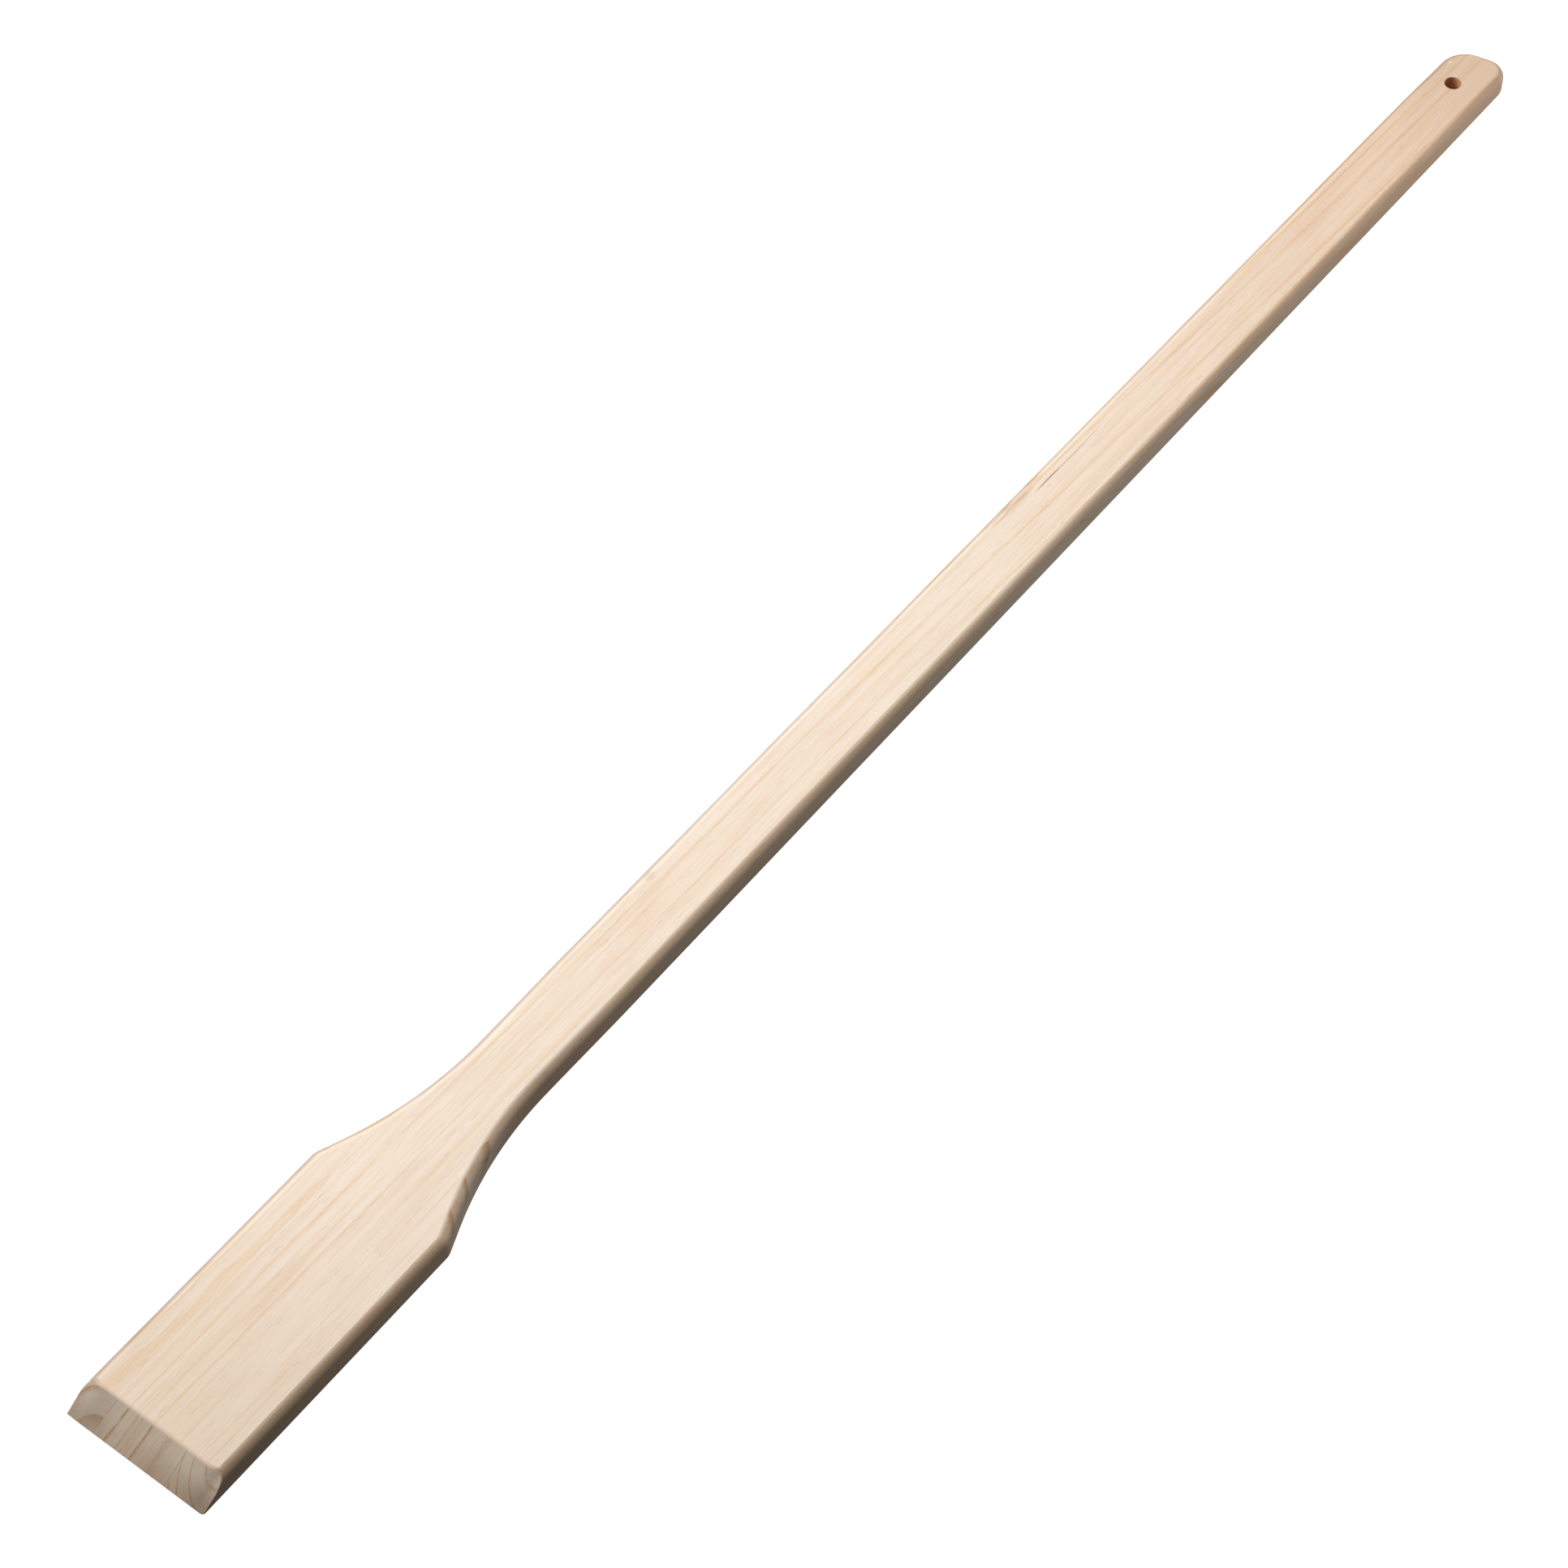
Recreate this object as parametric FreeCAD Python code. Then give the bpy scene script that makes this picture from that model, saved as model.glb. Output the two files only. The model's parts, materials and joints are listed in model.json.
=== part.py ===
import FreeCAD, Part
import math
import os

# Long wooden mixing paddle, edge-glued from three pine boards, in millimetres.
# It lies flat on its underside: +X runs along the grain from the bevelled tip of the
# blade to the end of the handle, +Y points to the left wing of the blade, +Z is up.
# The origin is on the underside, in the middle of the length and of the width.

# Overall size
length = 1219.2
blade_width = 88.9
thickness = 15.9

# Handle: full width just behind the neck, a little narrower at the far end, where a
# shallow crown whose apex lies to the right of the middle joins the two round corners
handle_width_at_neck = 44.3
handle_width_at_end = 39.8
left_end_corner_radius = 19.0
right_end_corner_radius = 14.5
end_crown_radius = 60.0
end_crown_offset = 5.0

# Neck: where the handle is narrowest, and the hollow curve that leads to the blade
waist_from_tip = 281.0
waist_width = 43.6
neck_radius = 232.0
shoulder_angle = 22.0
shoulder_corner_radius = 9.0
handle_full_from_tip = 350.0

# Blade tip: a bevel planed on the top face, from a ridge down to a thin front edge.
# Its left corner is square and its right one is sanded round.
bevel_run = 17.9
tip_edge_height = 2.8
right_tip_corner_radius = 3.5
ridge_easing = 0.8

# Edges: the top ones are rounded over generously, the lower ones less
top_edge_radius = 5.6
bottom_edge_radius = 3.2

# Hang hole near the end of the handle, a little left of the middle, straight through and
# with eased rims
hole_diameter = 10.5
hole_from_end = 35.3
hole_left_of_middle = 1.9
hole_rim_chamfer = 0.3

# Boards: one full-length stave with a wing glued to each side of the blade. The left joint
# runs straight along X; the right one drifts outwards a little, from the tip to the waist.
# Each wing runs out to a feather edge at the neck, about half a millimetre thick at its end.
left_joint_y = 26.0
right_joint_y_at_tip = -20.2
right_joint_y_at_waist = -21.9
left_wing_length = 233.5
right_wing_length = 263.5
glue_thickness = 0.15

# How far cutting blocks reach beyond the wood, and how closely edges are told apart
clearance = 10.0
tolerance = 0.01

tip_x = -length / 2
end_x = length / 2
deg = math.pi / 180


def point(x, y, z=0.0):
    return FreeCAD.Vector(x, y, z)


def arc_about(centre_x, centre_y, radius, start, middle, end):
    """Arc about a centre, through three angles in degrees."""
    spots = [
        point(centre_x + radius * math.cos(angle * deg), centre_y + radius * math.sin(angle * deg))
        for angle in (start, middle, end)
    ]
    return Part.Arc(*spots).toShape()


def line(start, end):
    return Part.makeLine(start, end)


def side_edges(end_corner_radius, crown_y):
    """One side of the plan outline, drawn on +Y, from the middle of the tip to the end crown.

    crown_y is how far the crown's centre lies towards this side. The angle at which the
    corner runs into the crown is given back too.
    """
    half_blade = blade_width / 2
    half_waist = waist_width / 2
    slope = shoulder_angle * deg
    waist_x = tip_x + waist_from_tip
    full_x = tip_x + handle_full_from_tip
    half_full = handle_width_at_neck / 2
    half_end = handle_width_at_end / 2

    # Hollow neck curve: it leaves the shoulder facet at its slope and lies along X at the waist
    hollow_y = half_waist + neck_radius
    facet_end = point(
        waist_x - neck_radius * math.sin(slope), hollow_y - neck_radius * math.cos(slope)
    )

    # Shoulder corner: the side of the blade and the facet meet here, rounded
    shoulder_x = facet_end.x - (half_blade - facet_end.y) / math.tan(slope)
    tangent = shoulder_corner_radius * math.tan(slope / 2)
    side_end = point(shoulder_x - tangent, half_blade)
    facet_start = point(
        shoulder_x + tangent * math.cos(slope), half_blade - tangent * math.sin(slope)
    )

    # Round end corner: it touches the crown from inside
    corner_y = half_end - end_corner_radius
    inside = end_crown_radius - end_corner_radius
    crown_x = end_x - end_crown_radius
    corner_x = crown_x + math.sqrt(inside**2 - (corner_y - crown_y) ** 2)
    crown_angle = math.atan2(corner_y - crown_y, corner_x - crown_x) / deg

    # Handle side: a long straight taper that runs into the round end corner
    taper = math.atan((half_full - half_end) / (corner_x - full_x))
    taper_end = point(
        corner_x + end_corner_radius * math.sin(taper),
        corner_y + end_corner_radius * math.cos(taper),
    )
    taper_start = point(full_x, taper_end.y + (taper_end.x - full_x) * math.tan(taper))
    taper_angle = 90 - taper / deg

    # The handle swells gently from the waist to its full width
    reach = (full_x - waist_x) / 3
    swell = Part.BezierCurve()
    swell.setPoles(
        [
            point(waist_x, half_waist),
            point(waist_x + reach, half_waist),
            point(full_x - reach, taper_start.y + reach * math.tan(taper)),
            taper_start,
        ]
    )

    tip_corner = point(tip_x, half_blade)
    edges = [
        line(point(tip_x, 0), tip_corner),
        line(tip_corner, side_end),
        arc_about(
            side_end.x,
            half_blade - shoulder_corner_radius,
            shoulder_corner_radius,
            90,
            90 - shoulder_angle / 2,
            90 - shoulder_angle,
        ),
        line(facet_start, facet_end),
        arc_about(waist_x, hollow_y, neck_radius, 270 - shoulder_angle, 270 - shoulder_angle / 2, 270),
        swell.toShape(),
        line(taper_start, taper_end),
        arc_about(
            corner_x,
            corner_y,
            end_corner_radius,
            taper_angle,
            (taper_angle + crown_angle) / 2,
            crown_angle,
        ),
    ]
    return edges, crown_angle


def outline_face():
    """The closed plan outline."""
    left, left_angle = side_edges(left_end_corner_radius, -end_crown_offset)
    right, right_angle = side_edges(right_end_corner_radius, end_crown_offset)
    right = [edge.mirror(point(0, 0), point(0, 1)) for edge in right]
    crown = arc_about(
        end_x - end_crown_radius, -end_crown_offset, end_crown_radius, left_angle, 0, -right_angle
    )
    wire = Part.Wire(Part.__sortEdges__(left + [crown] + right))
    return Part.Face(wire)


def rounded_bar():
    """The whole paddle as one bar with its edges rounded over, before the bevel and the hole."""
    bar = outline_face().extrude(point(0, 0, thickness))
    bottom = [edge for edge in bar.Edges if edge.BoundBox.ZMax < tolerance]
    bar = bar.makeFillet(bottom_edge_radius, bottom)
    top = [
        edge
        for edge in bar.Edges
        if edge.BoundBox.ZMin > thickness - tolerance and edge.BoundBox.XMax > tip_x + tolerance
    ]
    return bar.makeFillet(top_edge_radius, top)


def bevel_cutter():
    """The wood that the bevel removes from the top of the tip."""
    slope = (thickness - tip_edge_height) / bevel_run
    low_x = tip_x - clearance
    high_x = tip_x + bevel_run + clearance
    corners = [
        point(low_x, -blade_width, tip_edge_height - slope * clearance),
        point(high_x, -blade_width, thickness + slope * clearance),
        point(low_x, -blade_width, thickness + slope * clearance),
    ]
    profile = Part.Face(Part.makePolygon(corners + corners[:1]))
    return profile.extrude(point(0, 2 * blade_width, 0))


def tip_corner_cutter():
    """The wood outside the sanded right corner of the tip."""
    radius = right_tip_corner_radius
    height = thickness + 2 * clearance
    block = Part.makeBox(
        radius + clearance,
        radius + clearance,
        height,
        point(tip_x - clearance, -blade_width / 2 - clearance, -clearance),
    )
    kept = Part.makeCylinder(
        radius, height, point(tip_x + radius, -blade_width / 2 + radius, -clearance)
    )
    return block.cut(kept)


def hang_hole_cutter():
    """The drilled hang hole with a small chamfer at both rims."""
    radius = hole_diameter / 2
    hole_x = end_x - hole_from_end
    drill = Part.makeCylinder(
        radius, thickness + 2 * clearance, point(hole_x, hole_left_of_middle, -clearance)
    )
    rim = Part.makeCone(
        radius, radius + 2 * hole_rim_chamfer, 2 * hole_rim_chamfer,
        point(hole_x, hole_left_of_middle, thickness - hole_rim_chamfer),
    )
    lower_rim = Part.makeCone(
        radius + 2 * hole_rim_chamfer, radius, 2 * hole_rim_chamfer,
        point(hole_x, hole_left_of_middle, -hole_rim_chamfer),
    )
    return drill.fuse([rim, lower_rim])


def whole_paddle():
    """The finished outside shape, before it is divided into its boards."""
    bar = rounded_bar().cut(tip_corner_cutter()).cut(bevel_cutter())
    ridge_x = tip_x + bevel_run
    ridge = [
        edge
        for edge in bar.Edges
        if abs(edge.BoundBox.XMin - ridge_x) < tolerance
        and abs(edge.BoundBox.XMax - ridge_x) < tolerance
        and edge.BoundBox.ZMin > thickness - tolerance
    ]
    bar = bar.makeFillet(ridge_easing, ridge)
    return bar.cut(hang_hole_cutter())


def right_joint_y(x):
    """How far out the right joint lies at a place along the paddle."""
    drift = (right_joint_y_at_waist - right_joint_y_at_tip) / waist_from_tip
    return right_joint_y_at_tip + drift * (x - tip_x)


def prism(corners):
    """An upright block through the whole thickness, over a polygon of (x, y) corners."""
    spots = [point(x, y, -clearance) for x, y in corners]
    base = Part.Face(Part.makePolygon(spots + spots[:1]))
    return base.extrude(point(0, 0, thickness + 2 * clearance))


def beside_left_joint(inner_y, outer_y, high_x):
    """A block along the left joint, from before the tip to high_x."""
    low_x = tip_x - clearance
    return prism([(low_x, inner_y), (high_x, inner_y), (high_x, outer_y), (low_x, outer_y)])


def beside_right_joint(inner_shift, outer_shift, high_x):
    """A block along the right joint, between two lines that lie the given shifts outside it."""
    low_x = tip_x - clearance
    return prism(
        [
            (low_x, right_joint_y(low_x) - outer_shift),
            (high_x, right_joint_y(high_x) - outer_shift),
            (high_x, right_joint_y(high_x) - inner_shift),
            (low_x, right_joint_y(low_x) - inner_shift),
        ]
    )


def centre_stave(paddle):
    low_x = tip_x - clearance
    high_x = end_x + clearance
    block = prism(
        [
            (low_x, right_joint_y(low_x)),
            (high_x, right_joint_y(high_x)),
            (high_x, left_joint_y),
            (low_x, left_joint_y),
        ]
    )
    return paddle.common(block)


def left_glue_line(paddle):
    wing_end = tip_x + left_wing_length
    return paddle.common(
        beside_left_joint(left_joint_y, left_joint_y + glue_thickness, wing_end)
    )


def right_glue_line(paddle):
    wing_end = tip_x + right_wing_length
    return paddle.common(beside_right_joint(0, glue_thickness, wing_end))


def left_wing(paddle):
    wing_end = tip_x + left_wing_length
    return paddle.common(
        beside_left_joint(left_joint_y + glue_thickness, blade_width, wing_end)
    )


def right_wing(paddle):
    wing_end = tip_x + right_wing_length
    return paddle.common(beside_right_joint(glue_thickness, blade_width, wing_end))


def main():
    os.makedirs("parts", exist_ok=True)
    paddle = whole_paddle()
    boards = {
        "centre_stave": centre_stave(paddle),
        "left_wing": left_wing(paddle),
        "right_wing": right_wing(paddle),
        "left_glue_line": left_glue_line(paddle),
        "right_glue_line": right_glue_line(paddle),
    }
    for name, shape in boards.items():
        shape.exportStep(f"parts/{name}.step")
        box = shape.optimalBoundingBox()
        print(
            f"{name}: {len(shape.Solids)} solid, valid {shape.isValid()}, {shape.Volume:.1f} mm3, "
            f"x {box.XMin:.1f} to {box.XMax:.1f}, y {box.YMin:.2f} to {box.YMax:.2f}, "
            f"z {box.ZMin:.2f} to {box.ZMax:.2f}"
        )


main()
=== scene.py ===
import json
import math

import bmesh
import bpy
import numpy as np
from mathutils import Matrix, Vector


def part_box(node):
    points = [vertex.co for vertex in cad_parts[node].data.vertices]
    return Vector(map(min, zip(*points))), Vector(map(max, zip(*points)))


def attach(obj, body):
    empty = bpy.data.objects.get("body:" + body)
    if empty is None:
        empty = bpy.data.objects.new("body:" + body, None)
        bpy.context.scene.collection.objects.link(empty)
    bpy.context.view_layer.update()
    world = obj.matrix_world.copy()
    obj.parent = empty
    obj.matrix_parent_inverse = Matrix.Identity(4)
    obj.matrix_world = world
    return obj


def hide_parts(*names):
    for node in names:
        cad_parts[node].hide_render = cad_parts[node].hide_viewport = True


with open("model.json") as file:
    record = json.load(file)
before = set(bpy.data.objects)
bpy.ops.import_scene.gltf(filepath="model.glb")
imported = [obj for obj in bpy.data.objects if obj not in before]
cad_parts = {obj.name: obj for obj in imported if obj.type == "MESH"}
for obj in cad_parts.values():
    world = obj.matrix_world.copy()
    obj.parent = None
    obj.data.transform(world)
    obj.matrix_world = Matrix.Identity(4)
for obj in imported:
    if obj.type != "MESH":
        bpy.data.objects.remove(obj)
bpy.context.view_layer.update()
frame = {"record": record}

# Looks of the long wooden mixing paddle. Lengths are in millimetres until a mesh is made.
# Places along the paddle are measured from the tip; +y is the left side, z = 0 the underside.

MM = 0.001


def box_mm(node):
    """Lowest and highest corner of a CAD node, in millimetres."""
    low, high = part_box(node)
    return np.array(low) / MM, np.array(high) / MM


stave_low, stave_high = box_mm("centre_stave")
left_wing_high = box_mm("left_wing")[1]
left_glue_low, left_glue_high = box_mm("left_glue_line")
right_glue_high = box_mm("right_glue_line")[1]
hole = next(mount for mount in frame["record"]["mounts"] if mount["name"] == "hang_hole")

# Sizes from the CAD frame
TIP_X = stave_low[0]
LENGTH = stave_high[0] - stave_low[0]
THICKNESS = stave_high[2]
HALF_BLADE = left_wing_high[1]
LEFT_JOINT = left_glue_low[1]
RIGHT_JOINT_AT_TIP = right_glue_high[1]
GLUE = left_glue_high[1] - left_glue_low[1]
HOLE_X = hole["pos_m"][0] / MM - TIP_X
HOLE_Y = hole["pos_m"][1] / MM
HOLE_RADIUS = hole["dims"]["r_mm"]

# The right joint drifts outwards from the tip to the waist
WAIST = 281.0
RIGHT_JOINT_AT_WAIST = -21.9

# Plan of the handle, the neck and the shoulders
HALF_WAIST = 21.8
HALF_NECK = 22.15
HALF_END = 19.9
HANDLE_FULL = 350.0
NECK_RADIUS = 232.0
SHOULDER_ANGLE = math.radians(22.0)
SHOULDER_RADIUS = 9.0
LEFT_CORNER_RADIUS = 19.0
RIGHT_CORNER_RADIUS = 14.5
CROWN_RADIUS = 60.0
CROWN_OFFSET = 5.0
TIP_CORNER_RADIUS = 2.2

# Bevel of the tip. Its ridge bends back by up to RIDGE_SAG, from SAG_FROM to SAG_TO before
# each side.
BEVEL_RUN = 17.9
TIP_HEIGHT = 2.8
RIDGE_EASE = 0.7
RIDGE_SAG = 2.4
SAG_FROM = 12.0
SAG_TO = 2.0
BEVEL_HOLLOW = 0.12
HOLLOW_WAVE = 11.0

# Rounded edges: how far in they reach, their depth as a share of that (EDGE_DEPTH), the angle
# at which they leave the face, and where these change
TOP_RADIUS = 5.6
TOP_RADIUS_ON_HANDLE = 5.2
TOP_RADIUS_AT_END = 7.0
EDGE_DEPTH = 1.05
BLADE_ARRIS = math.radians(34.0)
HANDLE_ARRIS = math.radians(20.0)
HANDLE_EDGE_ALONG = (300, 900)
END_EDGE_ALONG = (1150, 1200)
END_EDGE_ACROSS = (-12, 4)
BOTTOM_RADIUS = 3.2
THINNEST = 0.3
HOLE_RIM = 0.35

# Unevenness that the sander left in the flat faces
SANDING = 0.05
SANDING_MOST = 1.6

# A face counts as flat when its normal points up by more than FLAT_UPRIGHT. An edge beside one
# is an arris when it turns by more than ARRIS_TURN; shading breaks beyond SHARP_TURN anywhere.
FLAT_UPRIGHT = 0.9994
ARRIS_TURN = math.radians(6.0)
SHARP_TURN = math.radians(38.0)

# The end patch: from here on the rows bend round with the end of the handle. Each side of the
# patch takes END_SIDE_SHARE of the outline beyond, and the curved end takes the rest.
END_PATCH = LENGTH - 23.6
END_SIDE_SHARE = 0.27
END_POINTS = 241
END_ROWS = 8

# The square of the grid that gives way to the rings round the hang hole
HOLE_PATCH = 9.5
HOLE_ROWS = 17
RING_SHARES = (0.3, 0.55, 0.75, 0.9, 1.0)
RIM_TURNS = np.radians([22.5, 45.0, 67.5, 90.0])

# Rows along the paddle: from, to and spacing of each run, closer where the shape changes
TIP_ROWS = (0.0, 0.05, 0.15, 0.35, 0.7, 1.2, 1.8, 2.6, 3.5)
ROW_RUNS = [
    (4.5, 16.4, 1.0),
    (16.5, 19.6, 0.2),
    (20.5, 27.0, 1.0),
    (28.0, 165.0, 3.0),
    (165.0, 300.0, 1.25),
    (300.0, HOLE_X - HOLE_PATCH - 2, 4.0),
]
LEAST_SPACING = 0.05

# Columns across the flat part of the boards
STAVE_COLUMNS = 19
WING_COLUMNS = 9
ROOM_BESIDE_EDGE = 2.0

# A wing runs out where it gets thinner than WING_END; that is looked for before the waist, over
# RUN_OUT_SEARCH and in steps of RUN_OUT_STEP
WING_END = 0.05
RUN_OUT_SEARCH = 80.0
RUN_OUT_STEP = 0.25

# Lengths too small to matter
NO_LENGTH = 1e-9
SAME_CORNER = 1e-7


# ---------------------------------------------------------------- plan outline


def arc_points(centre_x, centre_y, radius, start, end, steps):
    """Points on an arc about a centre; the angles are in radians."""
    angles = np.linspace(start, end, steps)
    return np.stack([centre_x + radius * np.cos(angles), centre_y + radius * np.sin(angles)], 1)


def swell_points(start, start_slope, end, end_slope, steps):
    """A gentle cubic from one point and slope to another."""
    reach = (end[0] - start[0]) / 3
    first = np.array([start[0] + reach, start[1] + reach * start_slope])
    second = np.array([end[0] - reach, end[1] - reach * end_slope])
    t = np.linspace(0, 1, steps)[:, None]
    s = 1 - t
    return s**3 * np.array(start) + 3 * s * s * t * first + 3 * s * t * t * second + t**3 * np.array(end)


def side_outline(corner_radius, crown_y, tip_radius):
    """One side of the plan on +y, from the tip to the end crown, and the angle it ends at."""
    hollow_y = HALF_WAIST + NECK_RADIUS
    facet_x = WAIST - NECK_RADIUS * math.sin(SHOULDER_ANGLE)
    facet_y = hollow_y - NECK_RADIUS * math.cos(SHOULDER_ANGLE)
    shoulder_x = facet_x - (HALF_BLADE - facet_y) / math.tan(SHOULDER_ANGLE)
    tangent = SHOULDER_RADIUS * math.tan(SHOULDER_ANGLE / 2)
    inside = CROWN_RADIUS - corner_radius
    corner_y = HALF_END - corner_radius
    corner_x = LENGTH - CROWN_RADIUS + math.sqrt(inside**2 - (corner_y - crown_y) ** 2)
    crown_angle = math.atan2(corner_y - crown_y, corner_x - LENGTH + CROWN_RADIUS)
    taper = math.atan((HALF_NECK - HALF_END) / (corner_x - HANDLE_FULL))
    taper_x = corner_x + corner_radius * math.sin(taper)
    taper_y = corner_y + corner_radius * math.cos(taper)
    full_y = taper_y + (taper_x - HANDLE_FULL) * math.tan(taper)
    quarter = math.pi / 2
    pieces = [
        arc_points(tip_radius, HALF_BLADE - tip_radius, tip_radius, math.pi, quarter, steps=9),
        arc_points(
            shoulder_x - tangent,
            HALF_BLADE - SHOULDER_RADIUS,
            SHOULDER_RADIUS,
            quarter,
            quarter - SHOULDER_ANGLE,
            steps=7,
        ),
        arc_points(
            WAIST, hollow_y, NECK_RADIUS, 3 * quarter - SHOULDER_ANGLE, 3 * quarter, steps=31
        ),
        swell_points(
            (WAIST, HALF_WAIST), 0, (HANDLE_FULL, full_y), -math.tan(taper), steps=15
        )[1:],
        arc_points(corner_x, corner_y, corner_radius, quarter - taper, crown_angle, steps=29),
    ]
    return np.concatenate(pieces), crown_angle


def whole_outline():
    """The plan from the left tip corner round the handle's end to the right tip corner."""
    left, left_angle = side_outline(LEFT_CORNER_RADIUS, -CROWN_OFFSET, 0.0)
    right, right_angle = side_outline(RIGHT_CORNER_RADIUS, CROWN_OFFSET, TIP_CORNER_RADIUS)
    crown = arc_points(
        LENGTH - CROWN_RADIUS, -CROWN_OFFSET, CROWN_RADIUS, left_angle, -right_angle, steps=25
    )
    mirrored = right[::-1] * np.array([1, -1])
    return left, np.concatenate([left, crown[1:-1], mirrored]), right


left_side, outline, right_side = whole_outline()


def left_edge(x):
    """Where the left side lies at a place along the paddle."""
    return np.interp(x, left_side[:, 0], left_side[:, 1])


def right_edge(x):
    """Where the right side lies at a place along the paddle."""
    return -np.interp(x, right_side[:, 0], right_side[:, 1])


def right_joint(x):
    """Where the right joint lies at a place along the paddle."""
    return RIGHT_JOINT_AT_TIP + (RIGHT_JOINT_AT_WAIST - RIGHT_JOINT_AT_TIP) * x / WAIST


def distance_to(spots, path):
    """Shortest distance from each spot to a path of straight pieces."""
    nearest = np.full(len(spots), np.inf)
    for start, end in zip(path[:-1], path[1:]):
        step = end - start
        square = step @ step
        if square < NO_LENGTH:
            continue
        along = np.clip((spots - start) @ step / square, 0, 1)
        gap = spots - start - along[:, None] * step
        nearest = np.minimum(nearest, np.hypot(gap[:, 0], gap[:, 1]))
    return nearest


# ---------------------------------------------------------------- outside surface


def smooth_step(low, high, value):
    """A smooth change from 0 to 1 while value goes from low to high."""
    t = np.clip((value - low) / (high - low), 0, 1)
    return t * t * (3 - 2 * t)


def hand_sanding(x, y):
    """How much a sander has taken off the flats: long, shallow and nowhere above the plane."""
    waves = np.sin(x / 61 + 0.7) * np.cos(y / 17 + x / 140) + 0.6 * np.sin(x / 23 - y / 9)
    return SANDING * (SANDING_MOST - waves)


def worn_edge(reach, start_angle, gap):
    """How far a routed top edge has fallen; it leaves the flat at a slight angle."""
    sine, cosine = math.sin(start_angle), math.cos(start_angle)
    depth = EDGE_DEPTH * reach
    turn = 1 - np.clip(gap / reach, 0, 1) * (1 - sine)
    fall = depth * (1 - np.sqrt(np.maximum(1 - turn**2, 0)) / cosine)
    return np.maximum(fall, 0)


def round_over(radius, gap):
    """How far a rounded edge has fallen at a distance in from the outline."""
    inside = np.maximum(radius - gap, 0)
    return radius - np.sqrt(np.maximum(radius**2 - inside**2, 0))


def surface(spots):
    """Height of the top and of the underside at each spot of the plan."""
    x, y = spots[:, 0], spots[:, 1]
    side_gap = distance_to(spots, outline)
    handle_share = smooth_step(*HANDLE_EDGE_ALONG, x)
    end_share = smooth_step(*END_EDGE_ALONG, x) * smooth_step(*END_EDGE_ACROSS, y)
    top_radius = TOP_RADIUS + (TOP_RADIUS_ON_HANDLE - TOP_RADIUS) * handle_share
    top_radius = top_radius + (TOP_RADIUS_AT_END - TOP_RADIUS_ON_HANDLE) * end_share
    crisp = worn_edge(top_radius, BLADE_ARRIS, side_gap)
    soft = worn_edge(top_radius, HANDLE_ARRIS, side_gap)
    flat = THICKNESS - hand_sanding(x, y) - crisp * (1 - handle_share) - soft * handle_share
    sag = RIDGE_SAG * smooth_step(HALF_BLADE - SAG_FROM, HALF_BLADE - SAG_TO, np.abs(y)) ** 2
    bevel = TIP_HEIGHT + (THICKNESS - TIP_HEIGHT) * x / (BEVEL_RUN + sag)
    hollow = np.sin(np.clip(x / BEVEL_RUN, 0, 1) * math.pi) * (1 + np.sin(y / HOLLOW_WAVE))
    bevel = bevel - BEVEL_HOLLOW * hollow
    blend = np.maximum(RIDGE_EASE - np.abs(flat - bevel), 0) / RIDGE_EASE
    top = np.minimum(flat, bevel) - blend**2 * RIDGE_EASE / 4
    under = round_over(BOTTOM_RADIUS, np.minimum(side_gap, np.maximum(x, 0)))
    return top, np.minimum(under, top - THINNEST)


def rows_along(last):
    """Places of the rows along the paddle, the last one at the given place."""
    runs = [np.arange(start, end, spacing) for start, end, spacing in ROW_RUNS]
    round_hole = HOLE_X + np.linspace(-HOLE_PATCH, HOLE_PATCH, HOLE_ROWS)
    rows = np.concatenate([TIP_ROWS, *runs, round_hole, [END_PATCH]])
    rows = np.unique(np.round(rows, 4))
    return np.append(rows[rows < last - LEAST_SPACING], last)


# ---------------------------------------------------------------- plans of the boards

# Distances in from a rounded side: equal turns round the edge, then evenly across the flat
TURNS = np.linspace(0, 1, 16) * math.pi / 2
EDGE_STEPS = TOP_RADIUS_AT_END * (1 - np.cos(TURNS))
STAVE_SPAN = 2 * HALF_NECK


def stave_shares():
    """Shares of the width at which the stave's columns lie."""
    near = EDGE_STEPS / STAVE_SPAN
    middle = np.linspace(near[-1], 1 - near[-1], STAVE_COLUMNS)[1:-1]
    return np.concatenate([near, middle, 1 - near[::-1]])


def share_of_length(path):
    """How far along a path each of its points lies, from 0 to 1."""
    lengths = np.hypot(*np.diff(path, axis=0).T)
    total = np.concatenate([[0], np.cumsum(lengths)])
    return total / total[-1]


def along_path(path, shares):
    """Points at given shares of a path's length."""
    own = share_of_length(path)
    return np.stack([np.interp(shares, own, path[:, 0]), np.interp(shares, own, path[:, 1])], 1)


def end_patch_paths():
    """The outline beyond the last straight row: right side, end curve and left side."""
    beyond = outline[outline[:, 0] > END_PATCH]
    left_start = np.array([[END_PATCH, left_edge(END_PATCH)]])
    right_start = np.array([[END_PATCH, right_edge(END_PATCH)]])
    path = np.concatenate([left_start, beyond, right_start])
    total = np.linspace(0, 1, END_POINTS)
    dense = along_path(path, total)
    left = dense[total <= END_SIDE_SHARE]
    right = dense[total >= 1 - END_SIDE_SHARE][::-1]
    end = dense[(total >= END_SIDE_SHARE) & (total <= 1 - END_SIDE_SHARE)][::-1]
    return right, end, left


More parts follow.
